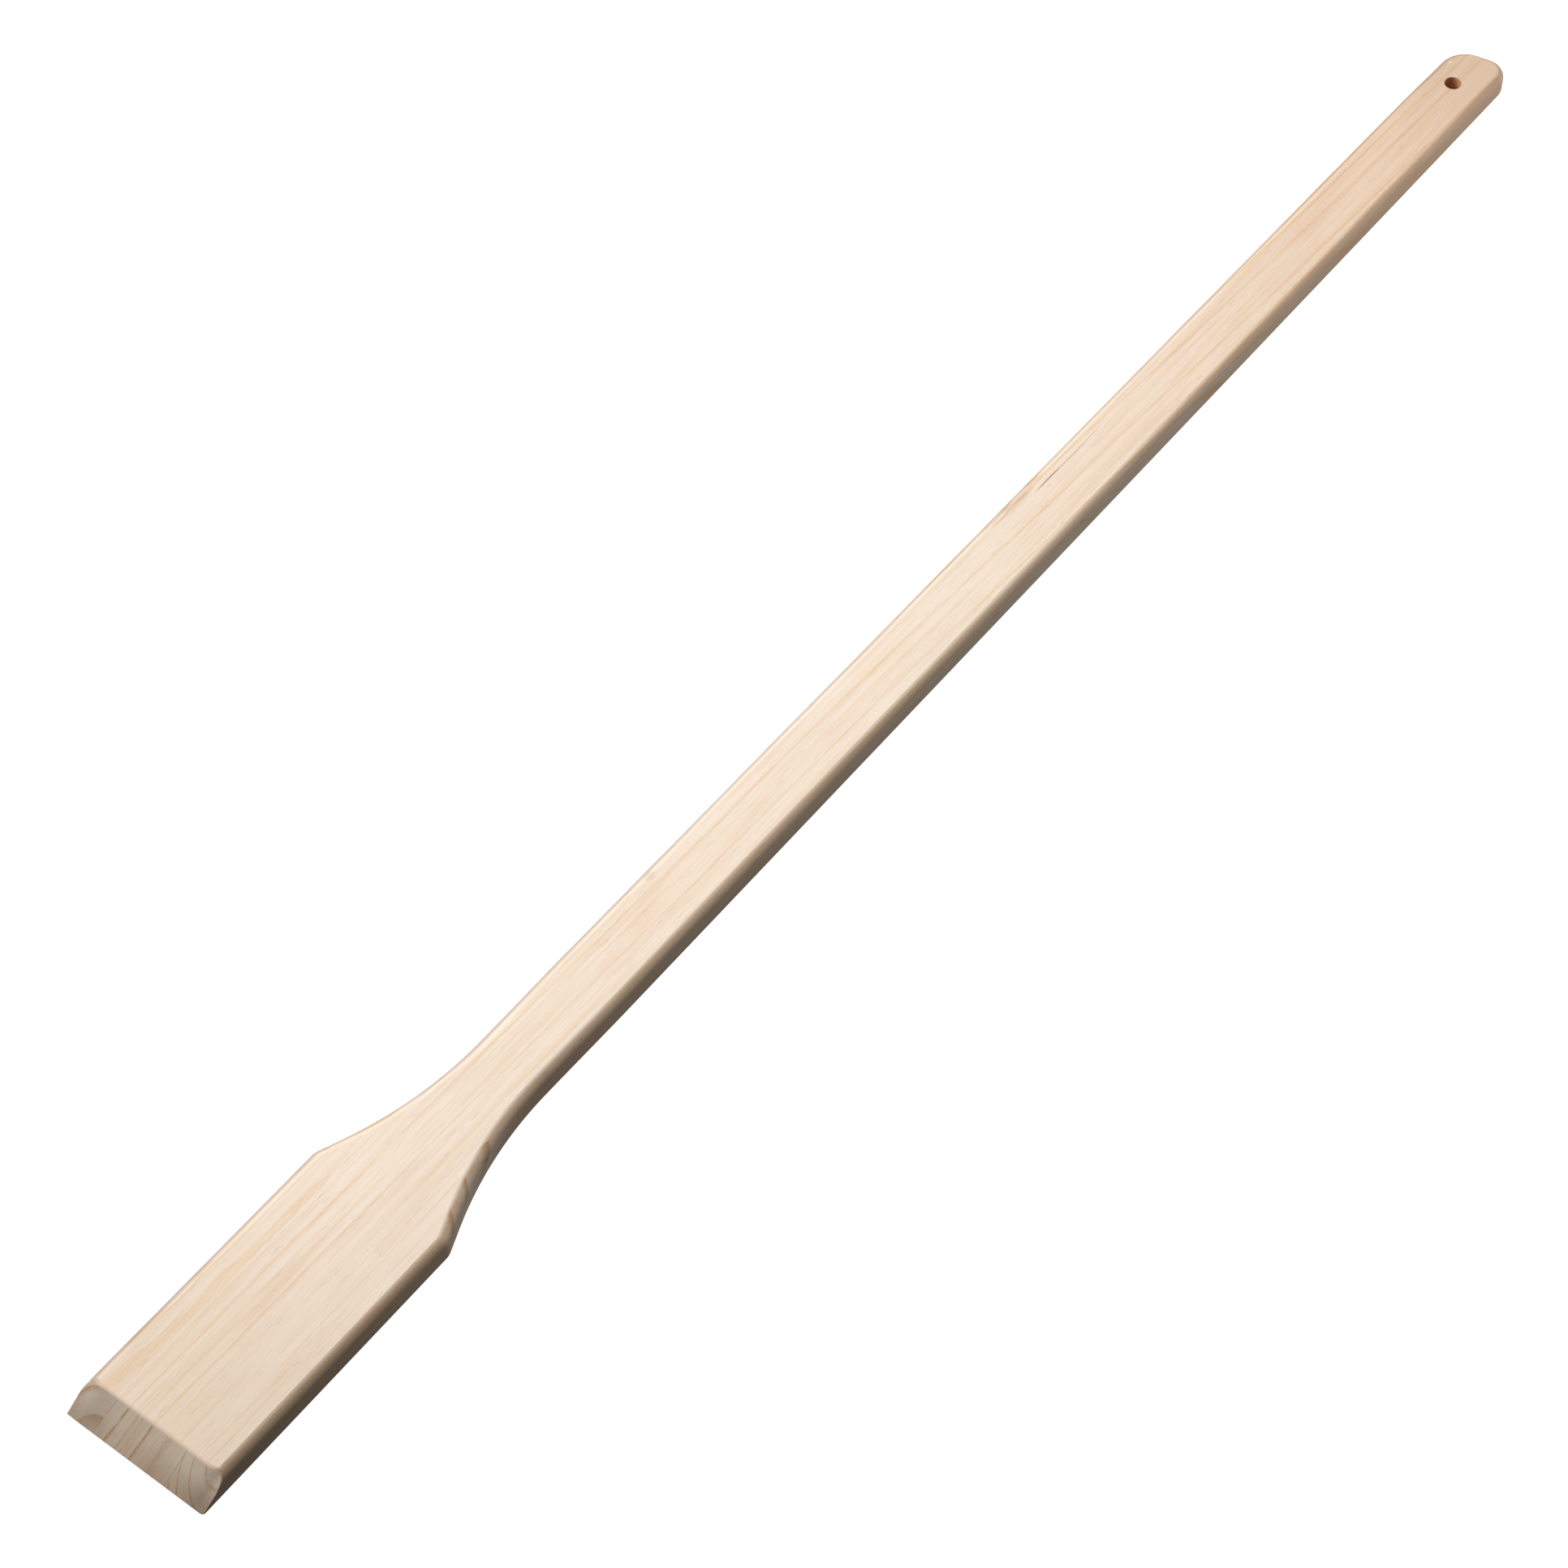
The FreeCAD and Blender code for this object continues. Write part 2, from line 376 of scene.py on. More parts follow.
def end_patch():
    """Rows that bend from straight across to the curve of the handle's end."""
    right, end, left = end_patch_paths()
    u = stave_shares()[None, :, None]
    depth = LENGTH - END_PATCH
    flat = np.linspace(depth, EDGE_STEPS[-1], END_ROWS)[:-1]
    v = 1 - np.concatenate([flat, EDGE_STEPS[::-1]]) / depth
    side_right = along_path(right, v)[:, None, :]
    side_left = along_path(left, v)[:, None, :]
    top = along_path(end, u[0, :, 0])[None, :, :]
    start = right[0] + (left[0] - right[0]) * u
    v = v[:, None, None]
    corners = (1 - u) * ((1 - v) * right[0] + v * right[-1])
    corners = corners + u * ((1 - v) * left[0] + v * left[-1])
    return (1 - u) * side_right + u * side_left + (1 - v) * start + v * top - corners


def stave_plan():
    """Rows and columns of the centre stave over the plan."""
    rows = rows_along(END_PATCH)
    low = np.maximum(right_edge(rows), right_joint(rows))
    high = np.minimum(left_edge(rows), LEFT_JOINT)
    y = low[:, None] + (high - low)[:, None] * stave_shares()[None, :]
    straight = np.stack([np.repeat(rows[:, None], y.shape[1], 1), y], 2)
    return np.concatenate([straight, end_patch()[1:]])


def wing_plan(joint, edge, last):
    """Rows and columns of a wing: columns gather at its rounded outer side."""
    rows = rows_along(last)
    inner, outer = joint(rows), edge(rows)
    width = np.abs(outer - inner)
    room = np.minimum(1, width / (EDGE_STEPS[-1] + ROOM_BESIDE_EDGE))
    gaps = EDGE_STEPS[None, :] * room[:, None]
    rest = np.linspace(0, 1, WING_COLUMNS)[None, 1:]
    flat = gaps[:, -1:] + (width[:, None] - gaps[:, -1:]) * rest
    gaps = np.concatenate([gaps, flat], 1)
    y = outer[:, None] + np.sign(inner - outer)[:, None] * gaps
    return np.stack([np.repeat(rows[:, None], y.shape[1], 1), y], 2)


def glue_plan(joint, edge, outward, last):
    """A narrow ribbon of glue along a joint."""
    rows = rows_along(last)
    inner = joint(rows)
    outer = inner + outward * np.minimum(GLUE, np.abs(edge(rows) - inner))
    return np.stack([np.stack([rows, rows], 1), np.stack([inner, outer], 1)], 2)


def run_out(joint, edge, thinnest):
    """Where a board beside a joint gets thinner than a given width."""
    spots = np.arange(WAIST - RUN_OUT_SEARCH, WAIST, RUN_OUT_STEP)
    width = np.abs(edge(spots)) - np.abs(joint(spots))
    return float(spots[width > thinnest].max())


# ---------------------------------------------------------------- meshes


class Shell:
    """Corners and faces of a board while it is being put together."""

    def __init__(self):
        self.corners = []
        self.faces = []

    def add(self, spots, heights):
        """Adds corners and gives back their numbers."""
        first = len(self.corners)
        self.corners.extend((x, y, z) for (x, y), z in zip(spots, heights))
        return np.arange(first, len(self.corners))

    def bridge(self, loop, other, closed):
        """Quads between two runs of corners."""
        count = len(loop)
        for i in range(count if closed else count - 1):
            j = (i + 1) % count
            self.faces.append((loop[i], loop[j], other[j], other[i]))

    def sheet(self, numbers, skip):
        """Quads of a grid of corners, leaving out those that skip names."""
        rows, columns = numbers.shape
        for i in range(rows - 1):
            for j in range(columns - 1):
                if not skip[i, j]:
                    corners = (numbers[i, j], numbers[i + 1, j], numbers[i + 1, j + 1], numbers[i, j + 1])
                    self.faces.append(corners)


def hole_block(plan):
    """Rows and columns of the grid that lie inside the square round the hang hole."""
    rows = np.nonzero(np.abs(plan[:, 0, 0] - HOLE_X) < HOLE_PATCH + 0.01)[0]
    middle = rows[len(rows) // 2]
    columns = np.nonzero(np.abs(plan[middle, :, 1] - HOLE_Y) < HOLE_PATCH)[0]
    return rows[0], rows[-1], columns[0], columns[-1]


def rim_loop(numbers, block):
    """The corners round a block of the grid, in order."""
    low_row, high_row, low_column, high_column = block
    return np.concatenate(
        [
            numbers[low_row, low_column:high_column],
            numbers[low_row:high_row, high_column],
            numbers[high_row, high_column:low_column:-1],
            numbers[high_row:low_row:-1, low_column],
        ]
    )


def drill(shell, loop, into):
    """Rings from a square of corners down over the soft rim of the hole; gives the last ring."""
    centre = np.array([HOLE_X, HOLE_Y])
    square = np.array([shell.corners[number][:2] for number in loop])
    away = square - centre
    away = away / np.hypot(away[:, 0], away[:, 1])[:, None]
    circle = centre + away * (HOLE_RADIUS + HOLE_RIM)
    heights = np.array([shell.corners[number][2] for number in loop])
    level = heights.mean()
    for share in RING_SHARES:
        ring = shell.add(square + (circle - square) * share, heights + (level - heights) * share)
        shell.bridge(loop, ring, True)
        loop = ring
    for turn in RIM_TURNS:
        radius = HOLE_RADIUS + HOLE_RIM * (1 - math.sin(turn))
        drop = HOLE_RIM * (1 - math.cos(turn))
        ring = shell.add(centre + away * radius, np.full(len(loop), level + into * drop))
        shell.bridge(loop, ring, True)
        loop = ring
    return loop


def board_shell(plan, drilled):
    """Top, underside and walls of a board over its plan."""
    shell = Shell()
    rows, columns = plan.shape[:2]
    spots = plan.reshape(-1, 2)
    high, low = surface(spots)
    top = shell.add(spots, high).reshape(rows, columns)
    under = shell.add(spots, low).reshape(rows, columns)
    skip = np.zeros((rows, columns), bool)
    if drilled:
        block = hole_block(plan)
        skip[block[0] : block[1], block[2] : block[3]] = True
    shell.sheet(top, skip)
    shell.sheet(under, skip)
    rim = (0, rows - 1, 0, columns - 1)
    shell.bridge(rim_loop(top, rim), rim_loop(under, rim), True)
    if drilled:
        upper = drill(shell, rim_loop(top, block), -1)
        lower = drill(shell, rim_loop(under, block), 1)
        shell.bridge(upper, lower, True)
    return shell


def mark_arris(mesh):
    """Keeps the line crisp where the flat top turns into its rounded edge."""
    bm = bmesh.new()
    bm.from_mesh(mesh)
    for edge in bm.edges:
        if len(edge.link_faces) != 2 or not edge.smooth:
            continue
        upright = [face.normal.z for face in edge.link_faces]
        one_is_flat = max(upright) > FLAT_UPRIGHT and min(upright) > 0
        if one_is_flat and edge.calc_face_angle() > ARRIS_TURN:
            edge.smooth = False
    bm.to_mesh(mesh)
    bm.free()


def make_board(name, node, plan, material, drilled=False):
    """A finished board that stands for its CAD node."""
    shell = board_shell(plan, drilled)
    mesh = bpy.data.meshes.new(name)
    corners = (np.array(shell.corners) + np.array([TIP_X, 0, 0])) * MM
    mesh.from_pydata(corners.tolist(), [], [tuple(map(int, face)) for face in shell.faces])
    bm = bmesh.new()
    bm.from_mesh(mesh)
    bmesh.ops.dissolve_degenerate(bm, dist=SAME_CORNER, edges=bm.edges)
    bmesh.ops.recalc_face_normals(bm, faces=bm.faces)
    bm.to_mesh(mesh)
    bm.free()
    mesh.shade_smooth()
    mesh.set_sharp_from_angle(angle=SHARP_TURN)
    mark_arris(mesh)
    mesh.materials.append(material)
    board = bpy.data.objects.new(name, mesh)
    bpy.context.scene.collection.objects.link(board)
    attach(board, "root")
    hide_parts(node)
    return board


# ---------------------------------------------------------------- node building


def linear(value):
    """One screen value from 0 to 255, turned into the linear value of a shader."""
    share = value / 255
    return share / 12.92 if share <= 0.04045 else ((share + 0.055) / 1.055) ** 2.4


def tone(red, green, blue):
    """A colour given as screen values, turned into the linear values of a shader."""
    return (linear(red), linear(green), linear(blue), 1.0)


class Graph:
    """A material's node tree, with short ways to add and join its nodes."""

    def __init__(self, name):
        self.material = bpy.data.materials.new(name)
        self.material.use_nodes = True
        self.tree = self.material.node_tree
        self.tree.nodes.clear()

    def put(self, socket, value):
        if isinstance(value, bpy.types.NodeSocket):
            self.tree.links.new(value, socket)
        else:
            socket.default_value = value

    def math(self, operation, first, second=0.0, third=0.0):
        node = self.tree.nodes.new("ShaderNodeMath")
        node.operation = operation
        for socket, value in zip(node.inputs, (first, second, third)):
            self.put(socket, value)
        return node.outputs[0]

    def add(self, first, second):
        return self.math("ADD", first, second)

    def times(self, first, second):
        return self.math("MULTIPLY", first, second)

    def multiply_add(self, first, factor, offset):
        return self.math("MULTIPLY_ADD", first, factor, offset)

    def rise(self, value, low, high, start=0.0, end=1.0):
        """A smooth change from start to end while value goes from low to high."""
        node = self.tree.nodes.new("ShaderNodeMapRange")
        node.interpolation_type = "SMOOTHSTEP"
        for socket, item in zip(node.inputs[:5], (value, low, high, start, end)):
            self.put(socket, item)
        return node.outputs[0]

    def bump_at(self, value, place, before, after):
        """A hill at one place, with its own reach on either side."""
        up = self.rise(value, place - before, place)
        down = self.rise(value, place, place + after, 1.0, 0.0)
        return self.times(up, down)

    def vector(self, x, y, z):
        node = self.tree.nodes.new("ShaderNodeCombineXYZ")
        for socket, value in zip(node.inputs, (x, y, z)):
            self.put(socket, value)
        return node.outputs[0]

    def noise(self, vector, scale, detail=2.0, roughness=0.5):
        node = self.tree.nodes.new("ShaderNodeTexNoise")
        self.put(node.inputs["Vector"], vector)
        self.put(node.inputs["Scale"], scale)
        self.put(node.inputs["Detail"], detail)
        self.put(node.inputs["Roughness"], roughness)
        return node.outputs[0]

    def curve(self, value, points):
        """A smooth curve through a few points; both axes are given as they are used."""
        lows = [min(p[i] for p in points) for i in (0, 1)]
        spans = [max(p[i] for p in points) - lows[i] for i in (0, 1)]
        share = self.times(self.math("SUBTRACT", value, lows[0]), 1 / spans[0])
        node = self.tree.nodes.new("ShaderNodeFloatCurve")
        line = node.mapping.curves[0]
        while len(line.points) < len(points):
            line.points.new(0.5, 0.5)
        for spot, (x, y) in zip(line.points, points):
            spot.location = ((x - lows[0]) / spans[0], (y - lows[1]) / spans[1])
        node.mapping.update()
        self.put(node.inputs["Value"], share)
        return self.multiply_add(node.outputs[0], spans[1], lows[1])

    def mix(self, share, first, second):
        node = self.tree.nodes.new("ShaderNodeMix")
        node.data_type = "RGBA"
        self.put(node.inputs["Factor"], share)
        self.put(node.inputs["A"], first)
        self.put(node.inputs["B"], second)
        return next(out for out in node.outputs if out.type == "RGBA")

    def darken(self, colour, share, tint):
        """Multiplies a colour by a tint, as far as share says."""
        node = self.tree.nodes.new("ShaderNodeMix")
        node.data_type = "RGBA"
        node.blend_type = "MULTIPLY"
        self.put(node.inputs["Factor"], share)
        self.put(node.inputs["A"], colour)
        self.put(node.inputs["B"], tint)
        return next(out for out in node.outputs if out.type == "RGBA")


class Place:
    """Coordinates of the wood in millimetres: along from the tip, across, and up."""

    def __init__(self, graph):
        self.graph = graph
        source = graph.tree.nodes.new("ShaderNodeTexCoord")
        split = graph.tree.nodes.new("ShaderNodeSeparateXYZ")
        graph.put(split.inputs[0], source.outputs["Object"])
        self.along = graph.multiply_add(split.outputs[0], 1 / MM, -float(TIP_X))
        self.across = graph.times(split.outputs[1], 1 / MM)
        self.up = graph.times(split.outputs[2], 1 / MM)

    def stretched(self, along, across, up, shift=0.0):
        """A vector for noise whose blobs are about so many millimetres long each way."""
        graph = self.graph
        return graph.vector(
            graph.multiply_add(self.along, 1 / along, shift),
            graph.multiply_add(self.across, 1 / across, shift),
            graph.multiply_add(self.up, 1 / up, shift),
        )


def spread(graph, noise, amount):
    """Noise turned into a push to either side of nothing."""
    return graph.multiply_add(noise, 2 * amount, -amount)


# ---------------------------------------------------------------- pine

# Colours of the wood between and in the rings
EARLY = tone(248, 234, 218)
LATE = tone(240, 213, 174)

# Tints that the wood is multiplied by: its grain, then the stretches along the paddle
STREAK_TINT = tone(238, 214, 184)
DASH_TINT = tone(206, 158, 118)
MOTTLE_TINT = tone(246, 230, 220)
HANDLE_TINT = tone(252, 240, 230)
HANDLE_END_TINT = tone(244, 242, 240)
TIP_TINT = tone(243, 238, 232)

# Tints of the bevel's end grain
END_GRAIN_TINT = tone(244, 242, 237)
END_GRAIN_RING_TINT = tone(222, 200, 180)
LEFT_BEVEL_TINT = tone(238, 236, 238)
LOW_BEVEL_TINT = tone(226, 218, 212)
RIGHT_BEVEL_TINT = tone(214, 208, 202)

# Tints of the sides and the edges, which are painted shade, of the strokes on the neck, and of the wall
# of the hole, which is painted shade deeper down
SIDE_SHADE_TINT = tone(238, 227, 214)
TIP_SIDE_SHADE_TINT = tone(232, 232, 236)
RIGHT_ARRIS_SHADE_TINT = tone(230, 216, 200)
LEFT_ARRIS_SHADE_TINT = tone(216, 219, 227)
NECK_STROKE_TINT = tone(206, 172, 138)
HOLE_TINT = tone(246, 228, 204)
DEEP_HOLE_SHADE_TINT = tone(250, 236, 226)

# Colours laid over the wood: a painted highlight on the bevel's ridge, and a knot
RIDGE_HIGHLIGHT_COLOUR = tone(255, 230, 208)
KNOT_COLOUR = tone(188, 140, 104)

# Glue, from where it is thin to where it is thick
PALE_GLUE = tone(240, 220, 196)
TAN_GLUE = tone(226, 194, 160)

# Where tints come and go: along from the tip, across to the left, or up from the underside
HANDLE_ALONG = (700, 1180)
HANDLE_END_ALONG = (1090, 1215)
TIP_ALONG = (10, 190)
BEVEL_DOWN = (1.7, 2.7)
BEVEL_ALONG = (BEVEL_RUN - 1.4, BEVEL_RUN - 0.3)
LOW_BEVEL_ALONG = (0.5, 14)
LOW_BEVEL_ACROSS = (-16, 12)
LEFT_BEVEL_ACROSS = (16, 30)
RIGHT_BEVEL_ACROSS = (-43, -22)
RIGHT_BEVEL_ALONG = (3, 15)
SIDE_SHADE_UP = (THICKNESS - 5.0, THICKNESS - 0.4)
SIDE_SHADE_ALONG = (260, 700)
TIP_SIDE_SHADE_ALONG = (20, 110)
LEFT_ARRIS_SHADE_UP = (THICKNESS - 1.6, THICKNESS - 0.15)
LEFT_ARRIS_SHADE_ACROSS = (0, 10)
RIGHT_ARRIS_SHADE_ACROSS = (-4, 4)
RIDGE_HIGHLIGHT_UP = (THICKNESS - 2.2, THICKNESS - 0.8)
DEEP_HOLE_SHADE_UP = (THICKNESS - 4.0, THICKNESS - 0.5)
STROKE_UP = (THICKNESS - 9.0, THICKNESS - 2.0)
OFF_FACE_UP = (THICKNESS - 0.6, THICKNESS - 0.2)

# Hills: the place of the top, and its reach before and after
NECK_UNSHADED_HILL = (205, 35, 65)
RIGHT_ARRIS_SHADE_HILL = (THICKNESS - 1.0, 4.0, 0.85)
RIDGE_HIGHLIGHT_HILL = (BEVEL_RUN - 0.6, 1.3, 1.3)

# Shine of the wood, and bump strengths and reliefs (in millimetres) of the wood and the glue
PINE_ROUGHNESS = 0.5
PINE_SPECULAR = 0.35
PINE_BUMP = 0.5
PINE_RELIEF = 0.1
GLUE_BUMP = 0.3
GLUE_RELIEF = 0.05


def ring_sum(graph, place, rings):
    """How much latewood there is: rings are (place, reach before, reach after, strength)."""
    total = 0.0
    for spot, before, after, strength in rings:
        hill = graph.times(graph.bump_at(place, spot, before, after), strength)
        total = graph.add(hill, total)
    return total


def ring_wobble(graph, place, amount):
    """Slow and quick wandering of the rings along the board."""
    slow = spread(graph, graph.noise(place.stretched(90, 14, 14), 1.0, 2.0), amount)
    quick = spread(graph, graph.noise(place.stretched(16, 2.2, 2.2, 3.1), 1.0, 3.0), amount * 0.4)
    return graph.add(slow, quick)


def broken(graph, place, shift):
    """Latewood that thickens, thins and breaks into dashes along the grain."""
    slow = graph.noise(place.stretched(34, 1.6, 3, shift), 1.0, 3.0)
    quick = graph.noise(place.stretched(5, 0.5, 1, shift + 4), 1.0, 3.0)
    long_part = graph.rise(slow, 0.3, 0.62, 0.45, 1.0)
    short_part = graph.rise(quick, 0.3, 0.6, 0.6, 1.0)
    return graph.times(long_part, short_part)


def fibres(graph, place):
    """Fine streaks of the grain, from 0 to 1."""
    fine = graph.noise(place.stretched(22, 0.42, 0.8, 7.3), 1.0, 3.0, 0.6)
    broad = graph.noise(place.stretched(120, 3.4, 5, 1.9), 1.0, 2.0, 0.5)
    return graph.add(graph.times(fine, 0.55), graph.times(broad, 0.45))


def dashes(graph, place, shift):
    """Resin canals cut lengthwise: sparse short dark dashes."""
    thin = graph.noise(place.stretched(10, 0.24, 0.8, shift), 1.0, 1.0, 0.4)
    groups = graph.noise(place.stretched(60, 5, 8, shift + 9), 1.0, 1.0, 0.5)
    return graph.times(graph.rise(thin, 0.66, 0.78), graph.rise(groups, 0.42, 0.62))


def spot_at(graph, place, along, across, half_along, half_across):
    """A soft oval mark on the face."""
    x = graph.times(graph.math("SUBTRACT", place.along, along), 1 / half_along)
    y = graph.times(graph.math("SUBTRACT", place.across, across), 1 / half_across)
    square = graph.add(graph.times(x, x), graph.times(y, y))
    return graph.rise(square, 0.15, 1.0, 1.0, 0.0)


def bevel_share(graph, place):
    """1 on the bevel, 0 behind the ridge and on the sides below the bevel."""
    slope = float((THICKNESS - TIP_HEIGHT) / BEVEL_RUN)
    plane = graph.multiply_add(place.along, slope, TIP_HEIGHT)
    down = graph.math("SUBTRACT", plane, place.up)
    on_plane = graph.rise(down, *BEVEL_DOWN, 1.0, 0.0)
    return graph.times(on_plane, graph.rise(place.along, *BEVEL_ALONG, 1.0, 0.0))


def grain_colour(graph, place, late, grain, dash, behind):
    """Early and late wood with fine streaks, resin dashes and broad mottling."""
    colour = graph.mix(late, EARLY, LATE)
    streaks = graph.times(graph.rise(grain, 0.42, 0.66), graph.multiply_add(behind, 0.26, 0.12))
    colour = graph.darken(colour, streaks, STREAK_TINT)
    colour = graph.darken(colour, graph.times(dash, 0.85), DASH_TINT)
    mottle = graph.noise(place.stretched(70, 16, 16, 5.0), 1.0, 3.0)
    return graph.darken(colour, graph.rise(mottle, 0.4, 0.75, 0.0, 0.35), MOTTLE_TINT)


def tint_along(graph, place, colour, behind):
    """The wood is tanner up the handle, and a little duller at its end and towards the tip."""
    colour = graph.darken(colour, graph.rise(place.along, *HANDLE_ALONG, 0.0, 0.95), HANDLE_TINT)
    colour = graph.darken(colour, graph.rise(place.along, *HANDLE_END_ALONG), HANDLE_END_TINT)
    at_tip = graph.times(behind, graph.rise(place.along, *TIP_ALONG, 0.8, 0.0))
    return graph.darken(colour, at_tip, TIP_TINT)


def tint_bevel(graph, place, colour, late, bevel):
    """End grain of the bevel: its rings show more, and it is darker low down and at the sides."""
    colour = graph.darken(colour, bevel, END_GRAIN_TINT)
    colour = graph.darken(colour, graph.times(bevel, late), END_GRAIN_RING_TINT)
    left = graph.times(bevel, graph.rise(place.across, *LEFT_BEVEL_ACROSS))
    colour = graph.darken(colour, left, LEFT_BEVEL_TINT)
    low = graph.times(bevel, graph.rise(place.along, *LOW_BEVEL_ALONG, 1.0, 0.0))
    low_share = graph.multiply_add(graph.rise(place.across, *LOW_BEVEL_ACROSS, 1.0, 0.0), 0.3, 0.65)
    colour = graph.darken(colour, graph.times(low, low_share), LOW_BEVEL_TINT)
    right = graph.times(bevel, graph.rise(place.across, *RIGHT_BEVEL_ACROSS, 1.0, 0.0))
    right = graph.times(right, graph.rise(place.along, *RIGHT_BEVEL_ALONG, 1.0, 0.25))
    return graph.darken(colour, right, RIGHT_BEVEL_TINT)


def paint_side_shade(graph, place, colour, behind):
    """Painted shade: the sides are darker than the face, but hardly at all where the neck begins."""
    # Painted shade below the face: lighter up the handle, hardly any at the neck, greyer near the tip
    below = graph.times(behind, graph.rise(place.up, *SIDE_SHADE_UP, 1.0, 0.0))
    off_neck = graph.multiply_add(graph.bump_at(place.along, *NECK_UNSHADED_HILL), -0.9, 1.0)
    share = graph.times(graph.rise(place.along, *SIDE_SHADE_ALONG, 1.0, 0.35), off_neck)
    colour = graph.darken(colour, graph.times(below, share), SIDE_SHADE_TINT)
    at_tip = graph.times(below, graph.rise(place.along, *TIP_SIDE_SHADE_ALONG, 0.8, 0.0))
    return graph.darken(colour, at_tip, TIP_SIDE_SHADE_TINT)


def paint_edge_shade_and_highlight(graph, place, colour, behind):
    """Painted shade as a tan band along the right arris and a greyer left side, and a painted highlight
    as a pale ridge on the bevel.
    """
    # Painted shade: a tan band just below the right arris
    right = graph.times(graph.bump_at(place.up, *RIGHT_ARRIS_SHADE_HILL), behind)
    right = graph.times(right, graph.rise(place.across, *RIGHT_ARRIS_SHADE_ACROSS, 1.0, 0.0))
    colour = graph.darken(colour, right, RIGHT_ARRIS_SHADE_TINT)
    # Painted shade: the rounded left edge made greyer
    left = graph.times(graph.rise(place.up, *LEFT_ARRIS_SHADE_UP, 1.0, 0.0), behind)
    left = graph.times(left, graph.rise(place.across, *LEFT_ARRIS_SHADE_ACROSS))
    colour = graph.darken(colour, left, LEFT_ARRIS_SHADE_TINT)
    # Painted highlight: a pale band along the bevel's ridge
    ridge = graph.bump_at(place.along, *RIDGE_HIGHLIGHT_HILL)
    ridge = graph.times(ridge, graph.rise(place.up, *RIDGE_HIGHLIGHT_UP))
    return graph.mix(graph.times(ridge, 0.9), colour, RIDGE_HIGHLIGHT_COLOUR)


def join_shader(graph, colour, roughness, relief, strength, depth):
    """A shader with its colour, roughness and bump; depth is the relief in millimetres."""
    shader = graph.tree.nodes.new("ShaderNodeBsdfPrincipled")
    graph.put(shader.inputs["Base Color"], colour)
    graph.put(shader.inputs["Roughness"], roughness)
    bump = graph.tree.nodes.new("ShaderNodeBump")
    graph.put(bump.inputs["Strength"], strength)
    graph.put(bump.inputs["Distance"], depth * MM)
    graph.put(bump.inputs["Height"], relief)
    graph.put(shader.inputs["Normal"], bump.outputs[0])
    output = graph.tree.nodes.new("ShaderNodeOutputMaterial")
    graph.put(output.inputs["Surface"], shader.outputs[0])
    return shader


def finish_pine(graph, place, late, marks=None):
    """Colours, roughness and bump of one pine board from its rings."""
    grain = fibres(graph, place)
    dash = dashes(graph, place, 2.0)
    late = graph.math("MINIMUM", late, 1.0)
    bevel = bevel_share(graph, place)
    behind = graph.math("SUBTRACT", 1.0, bevel)
    colour = grain_colour(graph, place, late, grain, dash, behind)
    colour = tint_along(graph, place, colour, behind)
    colour = tint_bevel(graph, place, colour, late, bevel)
    colour = paint_side_shade(graph, place, colour, behind)
    colour = paint_edge_shade_and_highlight(graph, place, colour, behind)
    if marks:
        colour = marks(graph, place, colour)
    roughness = graph.add(PINE_ROUGHNESS, graph.times(grain, 0.16))
    roughness = graph.add(roughness, graph.times(late, -0.08))
    relief = graph.add(graph.times(grain, 0.9), graph.times(late, 0.5))
    relief = graph.add(relief, graph.times(dash, -0.4))
    shader = join_shader(graph, colour, roughness, relief, PINE_BUMP, PINE_RELIEF)
    graph.put(shader.inputs["Specular IOR Level"], PINE_SPECULAR)
    return graph.material


# The stave's rings stand nearly upright and drift towards the right on their way up the handle:
# places along the paddle, and how far the rings have moved there (less than 0 is to the right)
DRIFT = [
    (0, 0), (100, -0.8), (200, -2), (300, -3.6), (400, -6.2), (500, -8.3),
    (600, -10.6), (700, -15), (800, -18.6), (900, -23.3), (1000, -27.4), (1220, -34.0),
]
# Rings of the stave at the tip: place across, reach to the right and to the left, and strength
STAVE_RINGS = [
    (-20.2, 0.5, 0.35, 0.55),
    (-17.4, 0.5, 0.4, 0.28),
    (-14.6, 0.4, 0.3, 0.2),
    (-11.0, 6.5, 6.5, 0.16),
    (-9.2, 2.6, 2.2, 0.3),
    (-6.6, 0.4, 0.3, 0.25),
    (-4.4, 0.5, 0.4, 0.35),
    (-1.6, 0.4, 0.3, 0.25),
    (1.4, 2.4, 1.5, 0.35),
    (1.5, 0.8, 0.6, 0.7),
    (7.0, 5.0, 3.5, 0.2),
    (4.6, 0.5, 0.4, 0.25),
    (7.6, 0.6, 0.5, 0.3),
    (10.6, 1.6, 1.2, 0.4),
    (13.8, 0.5, 0.4, 0.3),
    (17.0, 2.4, 1.5, 0.35),
    (17.2, 0.9, 0.7, 0.7),
    (21.0, 0.5, 0.4, 0.2),
    (24.4, 0.5, 0.4, 0.6),
    (28.6, 0.9, 0.6, 0.4),
    (33.4, 1.9, 1.0, 0.8),
    (38.4, 0.7, 0.5, 0.3),
    (42.6, 1.8, 1.0, 0.85),
    (47.5, 2.4, 1.4, 0.5),
    (52.0, 0.8, 0.6, 0.6),
]


def in_hole(graph, place):
    """1 on the wall of the hang hole, 0 elsewhere."""
    x = graph.math("SUBTRACT", place.along, float(HOLE_X))
    y = graph.math("SUBTRACT", place.across, float(HOLE_Y))
    away = graph.math("SQRT", graph.add(graph.times(x, x), graph.times(y, y)))
    return graph.rise(away, float(HOLE_RADIUS) + 0.05, float(HOLE_RADIUS + HOLE_RIM), 1.0, 0.0)


